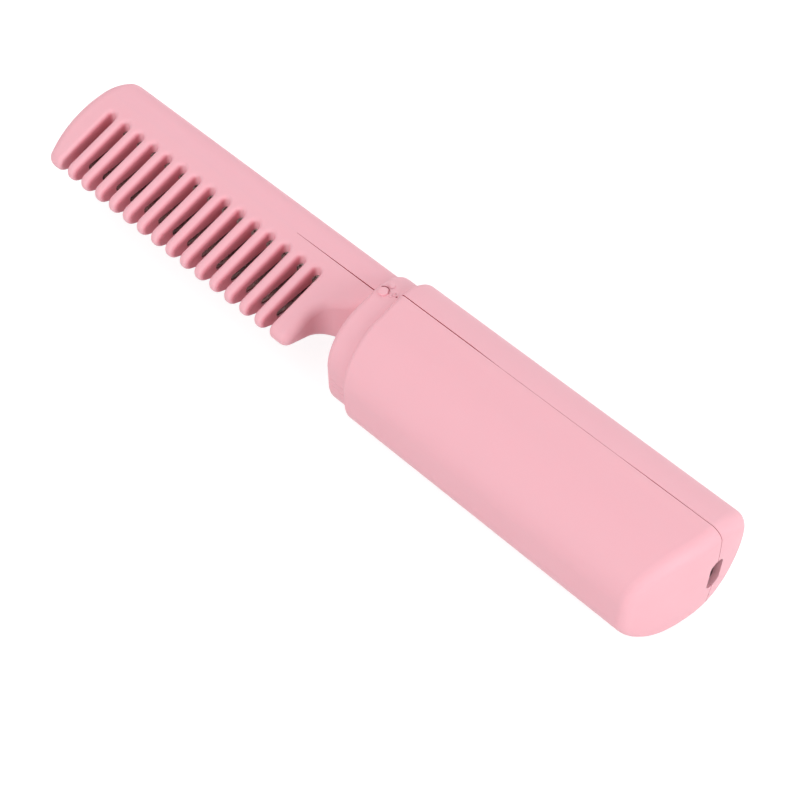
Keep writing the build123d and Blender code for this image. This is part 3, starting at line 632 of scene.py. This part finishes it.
@dataclass
class Case(Assembly):
    """Shell and cover, the small forms that are moulded on the collar, and dark pieces of painted shade in
    the moat round the nub and beside the ring.
    """

    lump: Mark = Mark("back_cover", 2.33 * MM, 5.05 * MM, 0.85 * MM, 0.5 * MM)
    pip: Mark = Mark("main_shell", 4.3 * MM, 2.8 * MM, 0.36 * MM, 0.22 * MM)
    ring: Mark = Mark("main_shell", 4.6 * MM, 3.8 * MM, 0.42 * MM, 0.2 * MM)
    # Places the dark bar of painted shade in the moat round the nub.
    gap: Mark = Mark("main_shell", 2.5 * MM, 2.42 * MM, 1.32 * MM, 0.09 * MM)
    # Places the dark dome of painted shadow beside the ring.
    pit_shade: Mark = Mark("main_shell", 5.28 * MM, 3.45 * MM, 0.2 * MM, 0.07 * MM)
    gap_start: float = 44.0
    gap_sweep: float = 106.0
    dome_segments: tuple[int, int] = (28, 14)
    hoop_segments: tuple[int, int] = (12, 36)
    thickness: float = 28.9 * MM
    line_places: tuple[float, float] = (14.45 * MM, 12.55 * MM)
    line_size: Point = (4.6 * MM, 0.1 * MM, 0.14 * MM)
    line_start: float = 3.2 * MM
    belly_y: float = -14.45 * MM

    def build(self) -> None:
        """Dresses the shell and the cover and sets the small forms on them, with the dark pieces of painted
        shade.
        """
        self.dress("main_shell", SHELL_PINK)
        self.dress("back_cover", COVER_PINK)
        bpy.context.view_layer.update()
        start, sweep = math.radians(self.gap_start), math.radians(self.gap_sweep)
        for side in Side:
            for name, mesh, finish, slot in (
                ("collar_lump", self.dome(self.lump), COVER_PINK, "cover_pink"),
                ("collar_pip", self.dome(self.pip), SHELL_PINK, "shell_pink"),
                ("collar_ring", self.hoop(self.ring, 0.0, math.tau), SHELL_PINK, "shell_pink"),
                # A dark dome of painted shadow beside the ring.
                ("collar_pit_shade", self.dome(self.pit_shade), GAP_SHADE, "shell_pink"),
                # A dark bar of painted shade, laid where shade falls in the moat round the nub.
                ("nub_gap_shade", self.hoop(self.gap, start, sweep), GAP_SHADE, "shell_pink"),
            ):
                self.piece(f"{name}_{side.value}", self.on_side(mesh, side), finish, "case", slot)
        self.piece("mould_lines", self.mould_lines(), SHELL_PINK, "case", "shell_pink")

    def seat(self, mark: Mark) -> Matrix:
        """Finds a mark's place on the upper side of the collar.

        Args:
            mark: Mark to place.

        Returns:
            Placement whose Z axis stands on the surface.
        """
        start = Vector((mark.x, mark.y, 2 * self.thickness))
        found, place, normal, _ = self.frame["nodes"][mark.node].ray_cast(start, Vector((0, 0, -1)))
        if not found:
            raise ValueError(f"no surface of {mark.node} at {mark.x}, {mark.y}")
        return Matrix.Translation(place) @ Vector((0, 0, 1)).rotation_difference(normal).to_matrix().to_4x4()

    def on_side(self, mesh: bmesh.types.BMesh, side: Side) -> bmesh.types.BMesh:
        """Mirrors a form of the upper side onto the given side."""
        if side is Side.UNDER:
            mirror = Matrix.Translation((0, 0, self.thickness)) @ Matrix.Scale(-1, 4, Vector((0, 0, 1)))
            bmesh.ops.transform(mesh, matrix=mirror, verts=mesh.verts)
        return mesh

    def dome(self, mark: Mark) -> bmesh.types.BMesh:
        """Low round lump, half sunk in the surface."""
        mesh = bmesh.new()
        around, down = self.dome_segments
        bmesh.ops.create_uvsphere(mesh, u_segments=around, v_segments=down, radius=1.0)
        bmesh.ops.scale(mesh, vec=Vector((mark.radius, mark.radius, mark.height)), verts=mesh.verts)
        bmesh.ops.transform(mesh, matrix=self.seat(mark), verts=mesh.verts)
        return mesh

    def hoop(self, mark: Mark, start: float, sweep: float) -> bmesh.types.BMesh:
        """Low round bar bent round a mark's axis, half sunk in the surface.

        Args:
            mark: Mark whose radius the bar follows, and whose height is the bar's radius.
            start: Angle that it starts at.
            sweep: Angle that it runs through.

        Returns:
            The bent bar.
        """
        mesh = bmesh.new()
        around, along = self.hoop_segments
        bmesh.ops.create_circle(mesh, segments=around, radius=mark.height)
        stand = Matrix.Rotation(start, 4, "Z") @ Matrix.Translation((mark.radius, 0, 0))
        bmesh.ops.transform(mesh, matrix=stand @ Matrix.Rotation(math.pi / 2, 4, "X"), verts=mesh.verts)
        closed = sweep == math.tau
        bmesh.ops.spin(mesh, geom=mesh.verts[:] + mesh.edges[:], cent=Vector(), axis=Vector((0, 0, 1)),
                       angle=sweep, steps=along, use_merge=closed)
        if not closed:
            bmesh.ops.holes_fill(mesh, edges=mesh.edges)
        bmesh.ops.transform(mesh, matrix=self.seat(mark), verts=mesh.verts)
        return mesh

    def mould_lines(self) -> bmesh.types.BMesh:
        """Two fine ridges that the mould leaves on the collar's belly."""
        mesh = bmesh.new()
        for z in self.line_places:
            bar = bmesh.ops.create_cube(mesh, size=1.0)["verts"]
            bmesh.ops.scale(mesh, vec=Vector(self.line_size), verts=bar)
            place = Vector((self.line_start + self.line_size[0] / 2, self.belly_y, z))
            bmesh.ops.translate(mesh, vec=place, verts=bar)
        bmesh.ops.bevel(mesh, geom=mesh.edges[:], offset=self.line_size[1] / 3, offset_type="OFFSET",
                        affect="EDGES", segments=2, profile=0.5, material=-1)
        return mesh


@dataclass
class Heater(Assembly):
    """Metal comb in the teeth and what heats and holds it."""

    def build(self) -> None:
        """Dresses the heater's nodes."""
        for node, finish in (
            ("heating_comb", DARK_CASTING),
            ("heating_element", WHITE_CERAMIC),
            ("insulating_films", AMBER_FILM),
            ("pressure_spring", SPRING_STEEL),
            ("clamp_bar", BAR_RESIN),
            ("clamp_screws", SCREW_STEEL),
            ("thermal_fuse", FUSE_TIN),
            ("temperature_sensor", SENSOR_GLASS),
            ("heater_wires", RED_SLEEVE),
            ("sensor_wires", WHITE_SLEEVE),
            ("heat_barrier", PRESSED_MICA),
        ):
            self.dress(node, finish)


@dataclass
class PowerPack(Assembly):
    """Cell with its tabs and pad."""

    def build(self) -> None:
        """Dresses the cell's nodes."""
        for node, finish in (
            ("battery_cell", SHRINK_SLEEVE),
            ("front_contact_tab", NICKEL),
            ("rear_contact_tab", NICKEL),
            ("cell_pad", CELL_FOAM),
        ):
            self.dress(node, finish)


@dataclass
class Controls(Assembly):
    """Board, button, lamps and what else stands on the board."""

    def build(self) -> None:
        """Dresses the board's nodes and the button."""
        for node, finish in (
            ("control_board", BOARD_GREEN),
            ("board_screws", SCREW_STEEL),
            ("tactile_switch", PART_BLACK),
            ("switch_plunger", PART_BLACK),
            ("power_button", BUTTON_PINK),
            ("light_guide", GUIDE_ACRYLIC),
            ("indicator_lamps", LAMP_EPOXY),
            ("control_chips", PART_BLACK),
            ("boost_coil", PART_BLACK),
            ("capacitors", DRAWN_CAN),
        ):
            self.dress(node, finish)


@dataclass
class ChargingInlet(Assembly):
    """Receptacle in the tail, with the contacts on its tongue."""

    contact_count: int = 12
    contact_pitch: float = 0.5 * MM
    contact_width: float = 0.3 * MM
    contact_length: float = 3.4 * MM
    contact_height: float = 0.03 * MM
    nose_margin: float = 0.5 * MM
    tongue_thickness: float = 0.7 * MM

    def build(self) -> None:
        """Dresses the receptacle and lays the contacts on its tongue."""
        self.dress("receptacle_shell", SHADED_PORT_STEEL)
        self.dress("receptacle_tongue", PORT_BLACK)
        low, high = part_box("receptacle_tongue")
        middle = (low + high) / 2
        mesh = bmesh.new()
        for face in (-1, 1):
            for count in range(self.contact_count):
                z = middle.z + (count - (self.contact_count - 1) / 2) * self.contact_pitch
                x = high.x - self.nose_margin - self.contact_length / 2
                y = middle.y + face * (self.tongue_thickness + self.contact_height) / 2
                pad = bmesh.ops.create_cube(mesh, size=1.0)["verts"]
                size = Vector((self.contact_length, self.contact_height, self.contact_width))
                bmesh.ops.scale(mesh, vec=size, verts=pad)
                bmesh.ops.translate(mesh, vec=Vector((x, y, z)), verts=pad)
        self.piece("receptacle_contacts", mesh, GOLD_PLATE, "case", "port_steel", smooth=False)


@dataclass(frozen=True)
class Lamp:
    """Soft square lamp that faces the object."""

    name: str
    way: Point
    power: float
    distance: float = 1.0
    size: float = 0.8


@dataclass
class Studio:
    """Camera, lamps and floor."""

    target: Point = (17.4 * MM, -8.25 * MM, 14.45 * MM)
    azimuth: float = 44.2
    elevation: float = 54.6
    roll: float = -0.5
    distance: float = 368.0 * MM
    lens: float = 80.1
    sensor: float = 36.0
    clip: tuple[float, float] = (0.01, 50.0)
    floor_size: float = 12.0
    floor_shade: float = 0.55
    floor_roughness: float = 0.9
    floor_gloss: float = 0.1
    shadow_share: float = 0.4
    backdrop: float = 0.77
    backdrop_reach: tuple[float, float] = (0.3, 0.9)
    room_light: float = 0.3
    lamps: list[Lamp] = field(default_factory=lambda: [
        Lamp("back_lamp", (0.0, 0.8, 0.6), 4.6),
        Lamp("belly_lamp", (0.0, -0.97, 0.25), 4.95),
        Lamp("front_lamp", (-0.1, -0.5, 0.85), 2.5),
        Lamp("tail_lamp", (0.97, 0.0, 0.25), 7.9),
        Lamp("tip_lamp", (-0.8, 0.0, 0.6), 1.35),
    ])

    def build(self) -> None:
        """Sets up the whole room."""
        self.camera()
        for lamp in self.lamps:
            self.light(lamp)
        self.floor()
        self.sky()
        bpy.context.scene.view_settings.view_transform = "Standard"

    def camera(self) -> None:
        """Puts the camera at the photograph's angle."""
        azimuth, elevation = math.radians(self.azimuth), math.radians(self.elevation)
        away = Vector((math.sin(azimuth) * math.cos(elevation), -math.cos(azimuth) * math.cos(elevation),
                       math.sin(elevation)))
        made = bpy.data.objects.new("camera", bpy.data.cameras.new("camera"))
        bpy.context.scene.collection.objects.link(made)
        turn = (-away).to_track_quat("-Z", "Y").to_matrix().to_4x4()
        place = Matrix.Translation(Vector(self.target) + self.distance * away)
        made.matrix_world = place @ turn @ Matrix.Rotation(math.radians(self.roll), 4, "Z")
        made.data.lens = self.lens
        made.data.sensor_width = self.sensor
        made.data.clip_start, made.data.clip_end = self.clip
        bpy.context.scene.camera = made

    def light(self, lamp: Lamp) -> None:
        """Adds a lamp.

        Args:
            lamp: Lamp to add.
        """
        light = bpy.data.lights.new(lamp.name, "AREA")
        light.size = lamp.size
        light.energy = lamp.power
        made = bpy.data.objects.new(lamp.name, light)
        bpy.context.scene.collection.objects.link(made)
        away = Vector(lamp.way).normalized()
        made.location = Vector(self.target) + lamp.distance * away
        made.rotation_euler = (-away).to_track_quat("-Z", "Y").to_euler()

    def floor(self) -> None:
        """Lays the pale floor that the comb lies on."""
        mesh = bmesh.new()
        bmesh.ops.create_grid(mesh, x_segments=1, y_segments=1, size=self.floor_size / 2)
        data = bpy.data.meshes.new("floor")
        mesh.to_mesh(data)
        mesh.free()
        made = bpy.data.objects.new("floor", data)
        bpy.context.scene.collection.objects.link(made)
        shader = ShaderTree("pale_floor")
        shader.set(Base_Color=(*[self.floor_shade] * 3, 1.0), Roughness=self.floor_roughness,
                   Specular_IOR_Level=self.floor_gloss)
        shadow = shader.node("ShaderNodeBsdfDiffuse")
        shadow.inputs["Color"].default_value = (*[self.shadow_share] * 3, 1.0)
        paper = shader.node("ShaderNodeEmission")
        away = shader.node("ShaderNodeVectorMath", operation="LENGTH")
        shader.link(shader.places, away.inputs[0])
        shader.link(shader.spread(away.outputs["Value"], self.backdrop, 1.0, *self.backdrop_reach),
                    paper.inputs["Strength"])
        looks = shader.node("ShaderNodeAddShader")
        shader.link(shadow.outputs["BSDF"], looks.inputs[0])
        shader.link(paper.outputs["Emission"], looks.inputs[1])
        chosen = shader.seen(shader.surface.outputs["BSDF"], looks.outputs["Shader"])
        shader.link(chosen, shader.tree.nodes["Material Output"].inputs["Surface"])
        data.materials.append(shader.material)

    def sky(self) -> None:
        """Fills the room with even light, in front of white."""
        world = bpy.data.worlds.new("room")
        world.use_nodes = True
        room = Nodes(world.node_tree)
        light = world.node_tree.nodes["Background"]
        light.inputs["Color"].default_value = WHITE
        light.inputs["Strength"].default_value = self.room_light
        white = room.node("ShaderNodeBackground")
        white.inputs["Color"].default_value = WHITE
        chosen = room.seen(light.outputs["Background"], white.outputs["Background"])
        room.link(chosen, world.node_tree.nodes["World Output"].inputs["Surface"])
        bpy.context.scene.world = world


def main() -> None:
    """Loads the frame, dresses each sub-assembly and sets up the room."""
    logging.basicConfig(level=logging.INFO, format="%(name)s: %(message)s")
    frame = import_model()
    paints = Paintbox()
    for kind in (Case, Heater, PowerPack, Controls, ChargingInlet):
        kind(frame, paints).build()
    Studio().build()


if __name__ == "__main__":
    main()
